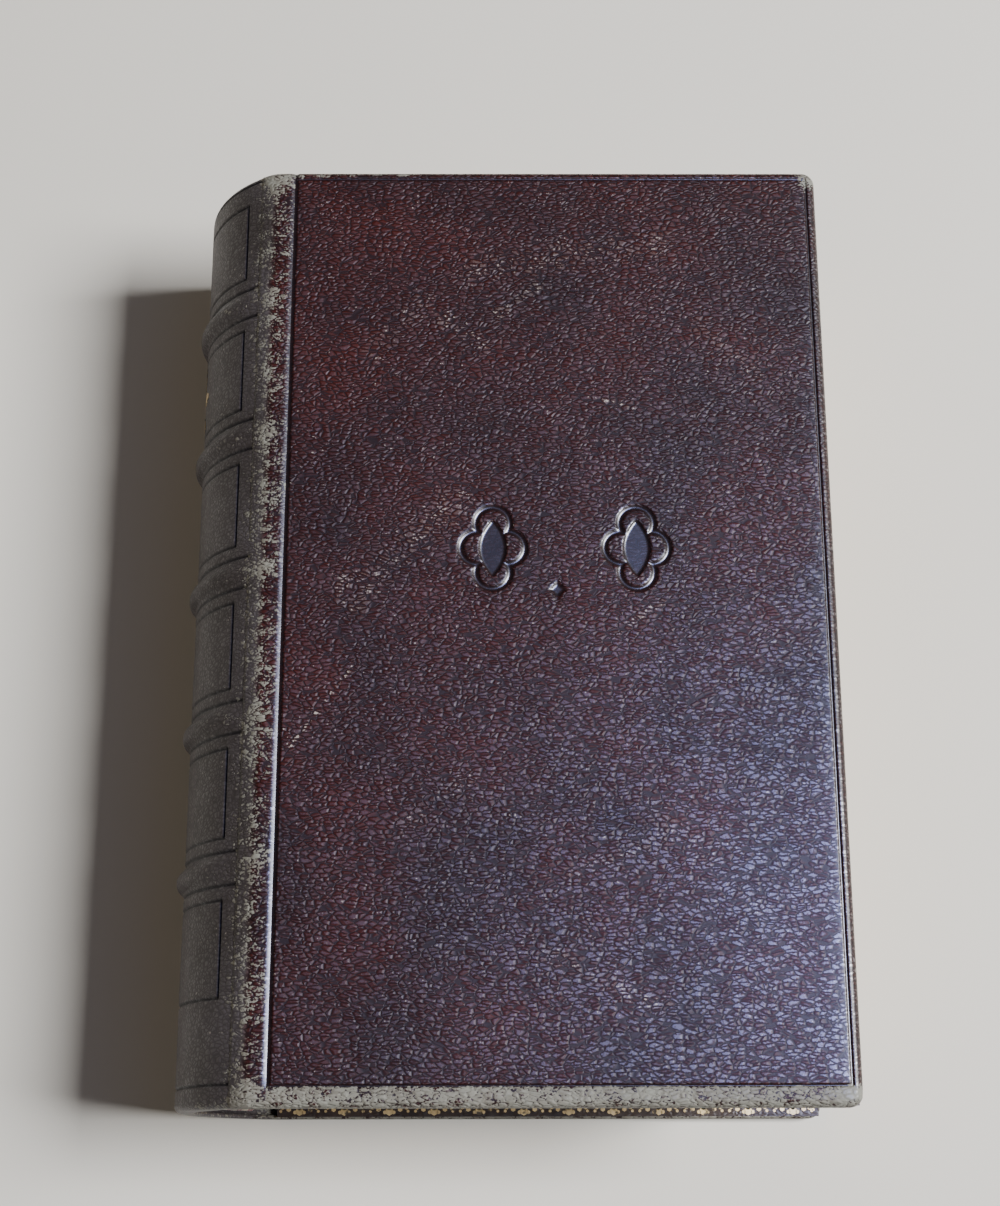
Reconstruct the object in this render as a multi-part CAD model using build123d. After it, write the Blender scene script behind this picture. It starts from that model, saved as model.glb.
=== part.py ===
from build123d import *
import math
import os

# A small prayer book in a full leather binding, lying on its back cover.
# Millimetres. +X runs from spine to fore-edge, +Y from tail to head, +Z from back cover to front cover.
# The origin is under the middle of the closed book, on the face it lies on.

# Driving dimensions ------------------------------------------------------------------------
board_height = 128.5            # cover, tail to head
board_reach = 76.2              # joint ridge to the covers' fore-edge
book_thickness = 36.2           # over both covers
spine_bulge = 11.0              # how far the rounded spine stands out past the joint ridges
square = 3.0                    # how far the covers overhang the leaves

cover_leather = 0.6             # leather on the outer face and the edges of a cover
board_thickness = 1.6           # millboard core
turn_in_thickness = 0.2         # pared leather on the inner face, level with the pastedown
turn_in_width = 7.0
corner_radius = 1.5             # worn fore-edge corners of the covers
edge_round = 0.4                # rounding round the outer face of a cover

spine_leather_thickness = 0.7
lining_thickness = 0.4          # paper lining between leather and mull
mull_thickness = 0.3            # open cloth glued on the folds
band_rise = 1.0                 # height of a raised band at the top of the round
band_width = 3.2
band_count = 5
band_pitch = 19.8
tail_band_height = 29.8         # tail edge of the covers to the first band
band_fade_angle = 50.0          # where a band runs out, from the top of the round
cap_thickness = 0.7             # leather turned over the ends of the spine
cap_depth = 1.8

section_count = 24
leaf_thickness = 0.15
leaf_gap = 0.1                  # air between loose leaves
front_leaf_names = ("front_flyleaf", "half_title_leaf", "title_leaf", "first_text_leaf")
leaf_step = 0.8                 # each leaf's fold is this much further in than the one above
fold_seat = 0.05                # glue between folds and mull
guard_clearance = 0.1           # round the endpaper guard, under the joint

cover_gap = 0.6                 # joint ridge to the cover's spine edge, at rest
swing_clearance = 0.2           # between a cover turned right over and the spine

cord_diameter = 1.0             # sewing cord inside a raised band
cord_clearance = 0.05
thread_diameter = 0.3
thread_clearance = 0.05
kettle_inset = 2.75             # kettle stitch, in from the end of the leaves
mull_inset = 3.75               # the mull stops inside the kettle stitches
endband_diameter = 2.0
endband_core_diameter = 1.2

# Worked-out places -------------------------------------------------------------------------
mid_z = book_thickness / 2
ridge_x = (spine_bulge + band_rise - board_reach) / 2
fore_edge_x = ridge_x + board_reach
cover_thickness = cover_leather + board_thickness + turn_in_thickness
cover_start_x = ridge_x + cover_gap
cover_inner_z = book_thickness - cover_thickness

spine_radius = (spine_bulge**2 + mid_z**2) / (2 * spine_bulge)
spine_x = ridge_x - spine_bulge + spine_radius
spine_half_angle = math.degrees(math.asin(mid_z / spine_radius))
lining_radius = spine_radius - spine_leather_thickness
mull_radius = lining_radius - lining_thickness
block_radius = mull_radius - mull_thickness
lining_half_angle = spine_half_angle - 2.6

# A cover turned right over has to lie clear of the falling curve of the spine.
clear_height = mid_z - cover_thickness - swing_clearance
turned_edge_x = spine_x - math.sqrt(spine_radius**2 - clear_height**2)
hinge_x = (cover_start_x + turned_edge_x) / 2
hinge_z = book_thickness - cover_thickness / 2
ridge_reach = math.hypot(ridge_x - hinge_x, book_thickness - hinge_z)

leaf_pitch = leaf_thickness + leaf_gap
leaf_end_x = fore_edge_x - square
leaf_start_x = cover_start_x + leaf_gap
leaf_height = board_height - 2 * square
top_leaf_z = cover_inner_z - leaf_gap - leaf_thickness / 2
bottom_leaf_z = cover_thickness + leaf_gap + leaf_thickness / 2
block_top_z = cover_inner_z - leaf_gap - len(front_leaf_names) * leaf_pitch
block_bottom_z = cover_thickness + leaf_gap + leaf_pitch
section_thickness = (block_top_z - block_bottom_z) / section_count
fold_radius = section_thickness / 2

band_places = [tail_band_height - board_height / 2 + i * band_pitch for i in range(band_count)]


def spine_plane(y):
    """Plane across the book at height y, centred on the spine's axis."""
    return Plane(origin=(spine_x, y, mid_z), x_dir=(1, 0, 0), z_dir=(0, -1, 0))


def wedge(half_angle, reach):
    """Triangle that opens from the spine's axis towards the round of the spine."""
    rise = reach * math.tan(math.radians(half_angle))
    return make_face(Polyline((0, 0), (-reach, rise), (-reach, -rise), close=True))


def spine_sector(inner, outer, half_angle, length, y=0.0):
    """Piece of a tube round the spine's axis."""
    ring = (Circle(outer) - Circle(inner)) & wedge(half_angle, 2 * outer)
    return extrude(spine_plane(y) * ring, amount=length / 2, both=True)


def spine_ring(radius, minor_radius, half_angle, y):
    """Round cord bent round the spine's axis."""
    ring = Pos(spine_x, y, mid_z) * Rot(90, 0, 0) * Torus(radius, minor_radius)
    sector = extrude(spine_plane(y) * wedge(half_angle, 2 * radius), amount=2 * minor_radius, both=True)
    return ring & sector


def slab(x_low, x_high, height, z_low, z_high):
    """Flat piece centred on y = 0."""
    place = Pos((x_low + x_high) / 2, 0, (z_low + z_high) / 2)
    return place * Box(x_high - x_low, height, z_high - z_low)


def rounded_slab(x_low, x_high, height, z_low, z_high, radius):
    """Flat piece with its two fore-edge corners rounded."""
    piece = slab(x_low, x_high, height, z_low, z_high)
    return fillet(piece.edges().filter_by(Axis.Z).group_by(Axis.X)[-1], radius)


def export_group(pieces, node):
    export_step(Compound(children=list(pieces)), f"parts/{node}.step")


def to_back(shape):
    """The same piece on the back cover."""
    return mirror(shape, about=Plane.XY.offset(mid_z))


# Covers ------------------------------------------------------------------------------------
def board():
    return rounded_slab(cover_start_x, fore_edge_x - cover_leather, board_height - 2 * cover_leather,
                        cover_inner_z + turn_in_thickness, book_thickness - cover_leather,
                        max(corner_radius - cover_leather, 0.1))


def pastedown():
    return slab(cover_start_x, fore_edge_x - turn_in_width, board_height - 2 * turn_in_width,
                cover_inner_z, cover_inner_z + turn_in_thickness)


def cover_skin():
    """Leather over the outer face, the three edges and the turn-ins."""
    skin = rounded_slab(cover_start_x, fore_edge_x, board_height, cover_inner_z, book_thickness,
                        corner_radius)
    outer_edges = skin.faces().sort_by(Axis.Z)[-1].edges()
    spine_edge = outer_edges.sort_by(Axis.X)[0]
    skin = fillet([edge for edge in outer_edges if edge != spine_edge], edge_round)
    return skin - board() - pastedown()


# Book block --------------------------------------------------------------------------------
def section_z(index):
    return block_bottom_z + (index + 0.5) * section_thickness


def fold_x(z):
    """Centre of a section's fold: the folds lie just inside the mull."""
    reach = block_radius - fold_seat - fold_radius
    return spine_x - math.sqrt(reach**2 - (z - mid_z) ** 2)


outer_fold_x = fold_x(section_z(section_count - 1))
section_width = leaf_end_x - outer_fold_x


def thread_line(z, radius):
    return Pos(fold_x(z), 0, z) * Rot(90, 0, 0) * Cylinder(radius, leaf_height)


def section(index):
    """Folded leaves, rounded at the fold, with the thread's channel along it."""
    z = section_z(index)
    start = fold_x(z)
    leaves = slab(start, start + section_width, leaf_height, z - fold_radius, z + fold_radius)
    fold = Pos(start, 0, z) * Rot(90, 0, 0) * Cylinder(fold_radius, leaf_height)
    return leaves + fold - thread_line(z, thread_diameter / 2 + thread_clearance)


def box_outline(x_low, x_high, z_low, z_high):
    return Pos((x_low + x_high) / 2, (z_low + z_high) / 2) * Rectangle(x_high - x_low, z_high - z_low)


def endpaper_guard(seat_z):
    """Shoulder of the block: the folded guard that the endpapers are sewn through, on a face at seat_z."""
    left = ridge_x - spine_bulge
    foot = box_outline(left, leaf_start_x - guard_clearance, seat_z, cover_inner_z - guard_clearance)
    knuckle = Pos(hinge_x, hinge_z) * Circle(ridge_reach - guard_clearance)
    knuckle &= box_outline(left, fore_edge_x, seat_z, book_thickness)
    outline = (foot + knuckle) & (Pos(spine_x, mid_z) * Circle(block_radius))
    across = Plane(origin=(0, 0, 0), x_dir=(1, 0, 0), z_dir=(0, -1, 0))
    return extrude(across * outline, amount=leaf_height / 2, both=True)


def leaf(index):
    """Loose front leaf, counted from the flyleaf in."""
    z = top_leaf_z - index * leaf_pitch
    return slab(leaf_start_x + index * leaf_step, leaf_end_x, leaf_height,
                z - leaf_thickness / 2, z + leaf_thickness / 2)


def back_flyleaf():
    return slab(leaf_start_x, leaf_end_x, leaf_height,
                bottom_leaf_z - leaf_thickness / 2, bottom_leaf_z + leaf_thickness / 2)


# Spine -------------------------------------------------------------------------------------
def panels(inner, outer, inset):
    """Strips on the spine between the sewing cords, from one end of the leaves to the other."""
    cord_room = cord_diameter / 2 + 4 * cord_clearance
    stops = [inset - leaf_height / 2 - cord_room, *band_places, leaf_height / 2 - inset + cord_room]
    for low, high in zip(stops, stops[1:]):
        length = high - low - 2 * cord_room
        yield spine_sector(inner, outer, lining_half_angle, length, (low + high) / 2)


def cord(y):
    """Sewing cord over the folds, inside a raised band."""
    return spine_ring(block_radius + cord_clearance + cord_diameter / 2, cord_diameter / 2,
                      band_fade_angle, y)


def band(y):
    """Raised band: highest at the top of the round, running out towards the joints."""
    fade = math.radians(band_fade_angle)
    top = spine_radius + band_rise
    run = top - spine_radius * math.cos(fade)
    half_chord = spine_radius * math.sin(fade)
    radius = (run**2 + half_chord**2) / (2 * run)
    hump = Rot(90, 0, 0) * Cylinder(radius, band_width)
    hump = fillet(hump.edges().filter_by(GeomType.CIRCLE), min(band_rise, band_width / 2) * 0.95)
    hump = Pos(spine_x - top + radius, y, mid_z) * hump
    keep = spine_sector(lining_radius, top + band_rise, lining_half_angle, band_width, y)
    return hump & keep


def spine_leather():
    """Leather over the round: raised bands, and a cap turned in at each end."""
    skin = spine_sector(lining_radius, spine_radius, spine_half_angle, board_height)
    cord_top = block_radius + cord_diameter + 2 * cord_clearance
    for y in band_places:
        skin += band(y)
    for y in band_places:
        skin -= spine_sector(lining_radius / 2, cord_top, lining_half_angle,
                             cord_diameter + 2 * cord_clearance, y)
    for end in (-1, 1):
        cap_y = end * (board_height - cap_thickness) / 2
        skin += spine_sector(lining_radius - cap_depth, spine_radius, band_fade_angle, cap_thickness, cap_y)
    return skin


def endband_place(end):
    return end * (leaf_height + endband_diameter + 2 * cord_clearance) / 2


def endband_core(end):
    return spine_ring(block_radius - endband_diameter / 2, endband_core_diameter / 2,
                      band_fade_angle - 2, endband_place(end))


def endband(end):
    """Silk wound over its core."""
    return spine_ring(block_radius - endband_diameter / 2, endband_diameter / 2,
                      band_fade_angle - 2, endband_place(end)) - endband_core(end)


def kettle_stitch(end):
    """Linked thread across the folds, near the end of the leaves."""
    return spine_ring(block_radius + thread_diameter / 2, thread_diameter / 2, band_fade_angle,
                      end * (leaf_height / 2 - kettle_inset))


# Every piece of the book -------------------------------------------------------------------
os.makedirs("parts", exist_ok=True)

for side, place in (("front", lambda shape: shape), ("back", to_back)):
    export_step(place(board()), f"parts/{side}_board.step")
    export_step(place(cover_skin()), f"parts/{side}_cover_leather.step")
    export_step(place(pastedown()), f"parts/{side}_pastedown.step")

for index in range(section_count):
    export_step(section(index), f"parts/section_{index + 1:02d}.step")
export_group((thread_line(section_z(i), thread_diameter / 2) for i in range(section_count)),
             "section_threads")

export_step(endpaper_guard(block_top_z), "parts/front_endpaper_guard.step")
export_step(to_back(endpaper_guard(book_thickness - block_bottom_z)), "parts/back_endpaper_guard.step")

for index, name in enumerate(front_leaf_names):
    export_step(leaf(index), f"parts/{name}.step")
export_step(back_flyleaf(), "parts/back_flyleaf.step")

for number, y in enumerate(band_places, start=1):
    export_step(cord(y), f"parts/sewing_cord_{number}.step")
export_group((kettle_stitch(end) for end in (-1, 1)), "kettle_stitches")
export_group(panels(block_radius, mull_radius, mull_inset), "spine_mull")
export_group(panels(mull_radius, lining_radius, 0.0), "spine_lining")
export_step(spine_leather(), "parts/spine_leather.step")

for end, name in ((1, "head"), (-1, "tail")):
    export_step(endband(end), f"parts/{name}_endband.step")
    export_step(endband_core(end), f"parts/{name}_endband_core.step")
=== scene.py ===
import math

import bmesh
import bpy
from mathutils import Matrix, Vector, noise


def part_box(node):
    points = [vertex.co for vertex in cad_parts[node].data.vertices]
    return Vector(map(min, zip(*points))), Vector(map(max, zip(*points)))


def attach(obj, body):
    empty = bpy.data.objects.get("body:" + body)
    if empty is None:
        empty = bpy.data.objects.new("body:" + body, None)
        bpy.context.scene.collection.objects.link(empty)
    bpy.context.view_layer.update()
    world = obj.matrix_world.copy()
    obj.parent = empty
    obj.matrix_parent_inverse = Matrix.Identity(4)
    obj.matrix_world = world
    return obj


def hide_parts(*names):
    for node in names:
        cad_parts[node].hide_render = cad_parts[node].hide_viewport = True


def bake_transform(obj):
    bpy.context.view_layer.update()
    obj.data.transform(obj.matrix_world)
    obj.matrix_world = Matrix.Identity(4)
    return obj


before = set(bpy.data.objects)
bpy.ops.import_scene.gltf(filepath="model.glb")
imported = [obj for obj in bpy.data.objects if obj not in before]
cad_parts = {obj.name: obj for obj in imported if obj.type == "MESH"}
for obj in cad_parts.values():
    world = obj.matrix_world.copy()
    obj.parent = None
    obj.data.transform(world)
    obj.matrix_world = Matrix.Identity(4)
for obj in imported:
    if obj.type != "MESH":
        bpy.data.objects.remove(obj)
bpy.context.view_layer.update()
mm = 0.001

jointGap = 0.6 * mm  # joint ridge to the cover's spine edge
bandRise = 1.0 * mm
coverLow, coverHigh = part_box("front_cover_leather")
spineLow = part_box("spine_leather")[0]
bookTop = coverHigh.z
midZ = bookTop / 2
halfHeight = coverHigh.y
ridgeX = coverLow.x - jointGap
foreX = coverHigh.x
innerZ = coverLow.z
bulge = ridgeX - spineLow.x - bandRise
spineRadius = (bulge ** 2 + midZ ** 2) / (2 * bulge)
spineX = ridgeX - bulge + spineRadius
halfAngle = math.asin(midZ / spineRadius)
bandPlaces = [sum(c.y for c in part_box(f"sewing_cord_{i}")) / 2 for i in range(1, 6)]


view = {"place": (-1.61 * mm, -75.12 * mm, 282.24 * mm), "turn": (17.044, -0.218, -0.104), "lens": 58.2}


def makeCamera():
    data = bpy.data.cameras.new("camera")
    data.lens = view["lens"]
    data.clip_start = 0.01
    camera = bpy.data.objects.new("camera", data)
    camera.location = view["place"]
    camera.rotation_euler = [math.radians(a) for a in view["turn"]]
    bpy.context.scene.collection.objects.link(camera)
    bpy.context.scene.camera = camera


studio = {"skyColour": (0.66, 0.76, 1.0), "skyPower": 0.055, "floorSize": 8.0,
          "lights": [  # name, place, aim, size, watts, colour
              ("windowLight", (0.66, -0.02, 0.78), (0, 0, 0), 0.34, 24.0, (0.97, 0.98, 1.0)),
              ("sheenLight", (0.26, 0.02, 0.70), (0.03, -0.03, 0.03), 0.22, 3.7, (0.31, 0.40, 1.0)),
              ("fillLight", (-0.8, 0.1, 0.35), (-0.03, 0, 0.02), 0.6, 1.5, (1.0, 0.78, 0.48))]}


def makeStudio():
    world = bpy.data.worlds.new("world")
    world.use_nodes = True
    sky = world.node_tree.nodes["Background"]
    sky.inputs["Color"].default_value = (*studio["skyColour"], 1)
    sky.inputs["Strength"].default_value = studio["skyPower"]
    bpy.context.scene.world = world
    for name, place, aim, size, watts, colour in studio["lights"]:
        data = bpy.data.lights.new(name, "AREA")
        data.size = size
        data.energy = watts
        data.color = colour
        lamp = bpy.data.objects.new(name, data)
        lamp.location = place
        lamp.visible_diffuse = name != "sheenLight"  # it only shows as a reflection
        lamp.visible_glossy = name != "fillLight"  # it only softens the shadows
        lamp.rotation_euler = (Vector(aim) - Vector(place)).to_track_quat("-Z", "Y").to_euler()
        bpy.context.scene.collection.objects.link(lamp)
    bm = bmesh.new()
    bmesh.ops.create_grid(bm, x_segments=1, y_segments=1, size=studio["floorSize"] / 2)
    mesh = bpy.data.meshes.new("floor")
    bm.to_mesh(mesh)
    bm.free()
    floor = bpy.data.objects.new("floor", mesh)
    bpy.context.scene.collection.objects.link(floor)
    mesh.materials.append(floorFinish())


def node(tree, kind, inputs=None, **settings):
    made = tree.nodes.new("ShaderNode" + kind)
    for name, value in settings.items():
        setattr(made, name, value)
    for name, value in (inputs or {}).items():
        if isinstance(value, bpy.types.NodeSocket):
            tree.links.new(value, made.inputs[name])
        else:
            made.inputs[name].default_value = value
    return made


def calc(tree, operation, a, b=0.0, clamp=False):
    return node(tree, "Math", {0: a, 1: b}, operation=operation, use_clamp=clamp).outputs[0]


def span(tree, value, low, high, toLow=0.0, toHigh=1.0):
    made = node(tree, "MapRange", {"Value": value, "From Min": low, "From Max": high,
                                   "To Min": toLow, "To Max": toHigh}, interpolation_type="SMOOTHSTEP")
    return made.outputs["Result"]


def blendColour(tree, factor, a, b, kind="MIX"):
    made = node(tree, "Mix", {0: factor}, data_type="RGBA", blend_type=kind)
    for index, value in ((6, a), (7, b)):
        if isinstance(value, bpy.types.NodeSocket):
            tree.links.new(value, made.inputs[index])
        else:
            made.inputs[index].default_value = (*value, 1)
    return made.outputs[2]


def newGroup(name, inputs, outputs):
    tree = bpy.data.node_groups.new(name, "ShaderNodeTree")
    for title, kind in inputs:
        tree.interface.new_socket(title, in_out="INPUT", socket_type="NodeSocket" + kind)
    for title, kind in outputs:
        tree.interface.new_socket(title, in_out="OUTPUT", socket_type="NodeSocket" + kind)
    return tree, tree.nodes.new("NodeGroupInput").outputs, tree.nodes.new("NodeGroupOutput").inputs


def fill(tree, group, inputs):
    made = tree.nodes.new("ShaderNodeGroup")
    made.node_tree = group
    for name, value in inputs.items():
        if isinstance(value, bpy.types.NodeSocket):
            tree.links.new(value, made.inputs[name])
        else:
            made.inputs[name].default_value = value
    return made.outputs


def grainGroup():  # pebbles of morocco: height, a number for each, creases
    tree, given, out = newGroup("pebbleGrain", [("Place", "Vector"), ("Size", "Float")],
                                [("Height", "Float"), ("Cell", "Float"), ("Crease", "Float")])
    wobble = node(tree, "TexNoise", {"Vector": given["Place"], "Scale": 160.0, "Detail": 2.0})
    shift = node(tree, "VectorMath", {0: wobble.outputs["Color"], 1: (0.0016, 0.0016, 0.0016)},
                 operation="MULTIPLY").outputs[0]
    moved = node(tree, "VectorMath", {0: given["Place"], 1: shift}, operation="ADD").outputs[0]
    turned = node(tree, "Mapping", {"Vector": moved, "Rotation": (0, 0, math.radians(-24)),
                                    "Scale": (0.62, 1.30, 1.1)}).outputs[0]
    scale = calc(tree, "DIVIDE", 1.0, given["Size"])
    cells = node(tree, "TexVoronoi", {"Vector": turned, "Scale": scale, "Randomness": 0.95},
                 feature="F1")
    edges = node(tree, "TexVoronoi", {"Vector": turned, "Scale": scale, "Randomness": 0.95},
                 feature="DISTANCE_TO_EDGE")
    dome = span(tree, edges.outputs["Distance"], 0.0, 0.34)
    tree.links.new(dome, out["Height"])
    apart = node(tree, "SeparateColor", {0: cells.outputs["Color"]})
    tree.links.new(apart.outputs[0], out["Cell"])
    tree.links.new(span(tree, edges.outputs["Distance"], 0.02, 0.16, 1.0, 0.0), out["Crease"])
    return tree


def scuffGroup():  # a scrape between two points, broken up by the grain
    tree, given, out = newGroup("scuff", [("Place", "Vector"), ("Start", "Vector"), ("End", "Vector"),
                                          ("Width", "Float"), ("Strength", "Float")], [("Mask", "Float")])
    along = node(tree, "VectorMath", {0: given["End"], 1: given["Start"]}, operation="SUBTRACT").outputs[0]
    reach = node(tree, "VectorMath", {0: given["Place"], 1: given["Start"]}, operation="SUBTRACT").outputs[0]
    top = node(tree, "VectorMath", {0: reach, 1: along}, operation="DOT_PRODUCT").outputs["Value"]
    bottom = node(tree, "VectorMath", {0: along, 1: along}, operation="DOT_PRODUCT").outputs["Value"]
    share = calc(tree, "DIVIDE", top, bottom, clamp=True)
    foot = node(tree, "VectorMath", {0: along, "Scale": share}, operation="SCALE").outputs[0]
    away = node(tree, "VectorMath", {0: reach, 1: foot}, operation="DISTANCE").outputs["Value"]
    ratio = calc(tree, "DIVIDE", away, given["Width"])
    mask = calc(tree, "MULTIPLY", span(tree, ratio, 0.2, 1.0, 1.0, 0.0), given["Strength"])
    tree.links.new(mask, out["Mask"])
    return tree


def cloudGroup():  # slow blotches of colour and dirt
    tree, given, out = newGroup("clouds", [("Place", "Vector"), ("Size", "Float"), ("Low", "Float"),
                                           ("High", "Float")], [("Mask", "Float")])
    scale = calc(tree, "DIVIDE", 1.0, given["Size"])
    made = node(tree, "TexNoise", {"Vector": given["Place"], "Scale": scale, "Detail": 6.0,
                                   "Roughness": 0.62}).outputs[0]
    remap = node(tree, "MapRange", {"Value": made, "From Min": given["Low"], "From Max": given["High"]})
    tree.links.new(remap.outputs["Result"], out["Mask"])
    return tree


def restSocket(tree):
    return node(tree, "Attribute", attribute_name="restPlace").outputs["Vector"]


def attributeSocket(tree, name):
    return node(tree, "Attribute", attribute_name=name).outputs["Fac"]


def principled(name):
    finish = bpy.data.materials.new(name)
    finish.use_nodes = True
    tree = finish.node_tree
    tree.nodes.clear()
    shader = tree.nodes.new("ShaderNodeBsdfPrincipled")
    output = tree.nodes.new("ShaderNodeOutputMaterial")
    tree.links.new(shader.outputs[0], output.inputs[0])
    return finish, tree, shader


def connect(tree, value, shader, name):
    tree.links.new(value, shader.inputs[name])


def bumpInto(tree, shader, height, distance, strength=1.0):
    made = node(tree, "Bump", {"Height": height, "Distance": distance, "Strength": strength})
    connect(tree, made.outputs[0], shader, "Normal")


morocco = {"grainSize": 0.68 * mm, "grainDepth": 0.098 * mm, "speckSize": 0.29 * mm,
           "cover": (0.044, 0.0056, 0.0019), "coverDeep": (0.019, 0.0032, 0.0018),
           "paintedCreaseShade": (0.005, 0.0012, 0.0010),
           "spine": (0.085, 0.075, 0.083), "spineDeep": (0.052, 0.043, 0.042),
           "pressed": (0.006, 0.0040, 0.0055),
           "rubbed": (0.155, 0.140, 0.112), "bare": (0.25, 0.25, 0.215),
           "speck": (0.40, 0.35, 0.31), "specks": 0.775, "roughness": 0.46}
scrapes = [  # start, end (from the middle of the cover, mm), half width, strength
           ((-34, -19.0), (-26.2, -8.5), 0.35, 0.85), ((-26.4, 1.0), (-12.0, 15.5), 3.4, 0.34),
           ((-27.5, 3.5), (-21.0, 4.2), 1.7, 0.46), ((-7.0, 42.0), (-1.5, 46.5), 1.3, 0.55),
           ((5.5, 29.5), (13.0, 28.0), 0.45, 0.62), ((-10, 49), (15, 53), 3.2, 0.30),
           ((-14.5, 41.5), (-9.0, 37.5), 2.0, 0.34), ((8.0, -4.0), (14.5, 0.5), 1.0, 0.42),
           ((2.0, -35.5), (14.0, -31.0), 1.4, 0.28), ((-1.0, -45.5), (14.0, -52.5), 1.7, 0.40),
           ((-24.0, 36.0), (-18.0, 44.0), 2.6, 0.22), ((12.0, -26.0), (26.0, -40.0), 2.2, 0.24),
           ((20.0, 41.0), (28.5, 33.0), 1.5, 0.25), ((-20, -30), (-11, -23), 1.8, 0.22)]


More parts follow.
